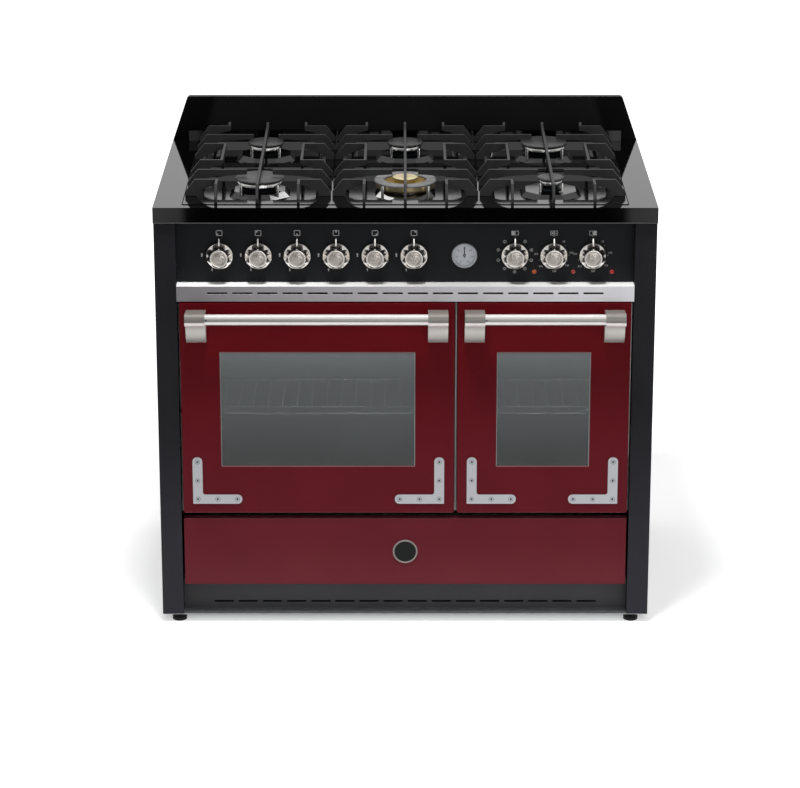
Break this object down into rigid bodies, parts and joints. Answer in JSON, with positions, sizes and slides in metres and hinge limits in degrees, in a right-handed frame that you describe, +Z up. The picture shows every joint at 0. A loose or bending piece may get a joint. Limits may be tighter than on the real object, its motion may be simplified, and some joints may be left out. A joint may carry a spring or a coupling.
{
  "type": "freestanding gas range",
  "caption": "Freestanding gas range with a burner hob under cast grates, two drop-down oven doors of unequal width, a row of knobs and a storage drawer.",
  "frame": {"origin": "on the floor under the middle of the bounding box", "axes": "+X to the right along the width, the front faces -Y, +Z up"},
  "size_m": [1, 0.6512, 0.98],
  "materials": {
    "black_enamel": "gloss",
    "black_sheet": "satin",
    "burgundy_enamel": "satin gloss",
    "stainless_steel": "brushed",
    "plinth_steel": "satin",
    "galvanised_steel": "matte",
    "knob_metal": "satin chrome",
    "trim_steel": "satin",
    "cast_iron": "matte enamel",
    "burner_aluminium": "cast",
    "cap_enamel": "satin enamel",
    "brass": "turned",
    "oven_enamel": "gloss enamel",
    "frame_enamel": "gloss enamel",
    "door_glass": "tinted",
    "seal_rubber": "matte",
    "lamp_plastic": "translucent",
    "foot_plastic": "matte",
    "needle_black": "matte",
    "element_steel": "heat-darkened"
  },
  "bodies": {
    "root": {"side_panel_left": "black_sheet", "side_panel_right": "black_sheet", "back_panel": "galvanised_steel", "base_pan": "galvanised_steel", "levelling_feet": "foot_plastic", "plinth": "plinth_steel", "vent_strip": "stainless_steel", "control_panel": "black_sheet", "indicator_lamps": "lamp_plastic", "thermometer_case": "knob_metal", "oven_switches": "galvanised_steel", "worktop": "black_enamel", "upstand": "black_enamel", "hob_pans": "black_enamel", "burner_bodies": "burner_aluminium", "burner_caps": "cap_enamel", "triple_crown_burner": "brass", "gas_supply": "galvanised_steel", "oven_front_frame": "frame_enamel", "door_seals": "seal_rubber", "door_hinge_arms": "galvanised_steel", "left_oven_liner": "oven_enamel", "right_oven_liner": "oven_enamel", "oven_racks": "stainless_steel", "heating_elements": "element_steel"},
    "thermometer_needle": {"thermometer_needle": "needle_black"},
    "oven_fan": {"oven_fan_impeller": "galvanised_steel"},
    "left_door": {"left_door_panel": "burgundy_enamel", "left_door_inner": "frame_enamel", "left_door_glass": "door_glass", "left_door_handle_bar": "stainless_steel", "left_door_handle_brackets": "knob_metal", "left_door_corner_trims": "trim_steel"},
    "right_door": {"right_door_panel": "burgundy_enamel", "right_door_inner": "frame_enamel", "right_door_glass": "door_glass", "right_door_handle_bar": "stainless_steel", "right_door_handle_brackets": "knob_metal", "right_door_corner_trims": "trim_steel"},
    "drawer": {"drawer_front": "burgundy_enamel", "drawer_box": "galvanised_steel", "drawer_medallion": "knob_metal"},
    "left_grate": {"left_grate": "cast_iron"},
    "centre_grate": {"centre_grate": "cast_iron"},
    "right_grate": {"right_grate": "cast_iron"},
    "valve_stem_1": {"valve_stem_1": "galvanised_steel"},
    "gas_knob_1": {"gas_knob_1": "knob_metal"},
    "valve_stem_2": {"valve_stem_2": "galvanised_steel"},
    "gas_knob_2": {"gas_knob_2": "knob_metal"},
    "valve_stem_3": {"valve_stem_3": "galvanised_steel"},
    "gas_knob_3": {"gas_knob_3": "knob_metal"},
    "valve_stem_4": {"valve_stem_4": "galvanised_steel"},
    "gas_knob_4": {"gas_knob_4": "knob_metal"},
    "valve_stem_5": {"valve_stem_5": "galvanised_steel"},
    "gas_knob_5": {"gas_knob_5": "knob_metal"},
    "valve_stem_6": {"valve_stem_6": "galvanised_steel"},
    "gas_knob_6": {"gas_knob_6": "knob_metal"},
    "oven_knob_1": {"oven_knob_1": "knob_metal"},
    "oven_knob_2": {"oven_knob_2": "knob_metal"},
    "oven_knob_3": {"oven_knob_3": "knob_metal"}
  },
  "joints": [
    {"name": "left_door_hinge", "type": "hinge", "parent": "root", "child": "left_door", "pos_m": [-0.17625, -0.25243, 0.263], "axis": [1, 0, 0], "range_deg": [0, 90], "stiffness_Nm_per_rad": 8, "springref_deg": -14.32},
    {"name": "right_door_hinge", "type": "hinge", "parent": "root", "child": "right_door", "pos_m": [0.27825, -0.25243, 0.263], "axis": [1, 0, 0], "range_deg": [0, 90], "stiffness_Nm_per_rad": 5, "springref_deg": -14.32},
    {"name": "drawer_slide", "type": "slide", "parent": "root", "child": "drawer", "axis": [0, -1, 0], "range_m": [0, 0.32]},
    {"name": "gas_knob_1_push", "type": "slide", "parent": "root", "child": "valve_stem_1", "axis": [0, 1, 0], "range_m": [0, 0.004], "stiffness_N_per_m": 1500, "springref_m": -0.003},
    {"name": "gas_knob_1_turn", "type": "hinge", "parent": "valve_stem_1", "child": "gas_knob_1", "pos_m": [-0.371, -0.24293, 0.778], "axis": [0, -1, 0], "range_deg": [0, 150]},
    {"name": "gas_knob_2_push", "type": "slide", "parent": "root", "child": "valve_stem_2", "axis": [0, 1, 0], "range_m": [0, 0.004], "stiffness_N_per_m": 1500, "springref_m": -0.003},
    {"name": "gas_knob_2_turn", "type": "hinge", "parent": "valve_stem_2", "child": "gas_knob_2", "pos_m": [-0.29335, -0.24293, 0.778], "axis": [0, -1, 0], "range_deg": [0, 150]},
    {"name": "gas_knob_3_push", "type": "slide", "parent": "root", "child": "valve_stem_3", "axis": [0, 1, 0], "range_m": [0, 0.004], "stiffness_N_per_m": 1500, "springref_m": -0.003},
    {"name": "gas_knob_3_turn", "type": "hinge", "parent": "valve_stem_3", "child": "gas_knob_3", "pos_m": [-0.21569, -0.24293, 0.778], "axis": [0, -1, 0], "range_deg": [0, 150]},
    {"name": "gas_knob_4_push", "type": "slide", "parent": "root", "child": "valve_stem_4", "axis": [0, 1, 0], "range_m": [0, 0.004], "stiffness_N_per_m": 1500, "springref_m": -0.003},
    {"name": "gas_knob_4_turn", "type": "hinge", "parent": "valve_stem_4", "child": "gas_knob_4", "pos_m": [-0.13804, -0.24293, 0.778], "axis": [0, -1, 0], "range_deg": [0, 150]},
    {"name": "gas_knob_5_push", "type": "slide", "parent": "root", "child": "valve_stem_5", "axis": [0, 1, 0], "range_m": [0, 0.004], "stiffness_N_per_m": 1500, "springref_m": -0.003},
    {"name": "gas_knob_5_turn", "type": "hinge", "parent": "valve_stem_5", "child": "gas_knob_5", "pos_m": [-0.06039, -0.24293, 0.778], "axis": [0, -1, 0], "range_deg": [0, 150]},
    {"name": "gas_knob_6_push", "type": "slide", "parent": "root", "child": "valve_stem_6", "axis": [0, 1, 0], "range_m": [0, 0.004], "stiffness_N_per_m": 1500, "springref_m": -0.003},
    {"name": "gas_knob_6_turn", "type": "hinge", "parent": "valve_stem_6", "child": "gas_knob_6", "pos_m": [0.01726, -0.24293, 0.778], "axis": [0, -1, 0], "range_deg": [0, 150]},
    {"name": "oven_knob_1_turn", "type": "hinge", "parent": "root", "child": "oven_knob_1", "pos_m": [0.2187, -0.24293, 0.778], "axis": [0, 1, 0], "continuous": true},
    {"name": "oven_knob_2_turn", "type": "hinge", "parent": "root", "child": "oven_knob_2", "pos_m": [0.29635, -0.24293, 0.778], "axis": [0, 1, 0], "range_deg": [0, 270]},
    {"name": "oven_knob_3_turn", "type": "hinge", "parent": "root", "child": "oven_knob_3", "pos_m": [0.374, -0.24293, 0.778], "axis": [0, 1, 0], "range_deg": [0, 270]},
    {"name": "thermometer_needle_turn", "type": "hinge", "parent": "root", "child": "thermometer_needle", "pos_m": [0.11798, -0.23992, 0.778], "axis": [0, 1, 0], "range_deg": [0, 300], "stiffness_Nm_per_rad": 0.0005},
    {"name": "left_grate_lift", "type": "slide", "parent": "root", "child": "left_grate", "axis": [0, 0, 1], "range_m": [0, 0.15]},
    {"name": "centre_grate_lift", "type": "slide", "parent": "root", "child": "centre_grate", "axis": [0, 0, 1], "range_m": [0, 0.15]},
    {"name": "right_grate_lift", "type": "slide", "parent": "root", "child": "right_grate", "axis": [0, 0, 1], "range_m": [0, 0.15]},
    {"name": "oven_fan_spin", "type": "hinge", "parent": "root", "child": "oven_fan", "pos_m": [-0.17625, 0.19057, 0.464], "axis": [0, 1, 0], "continuous": true}
  ]
}
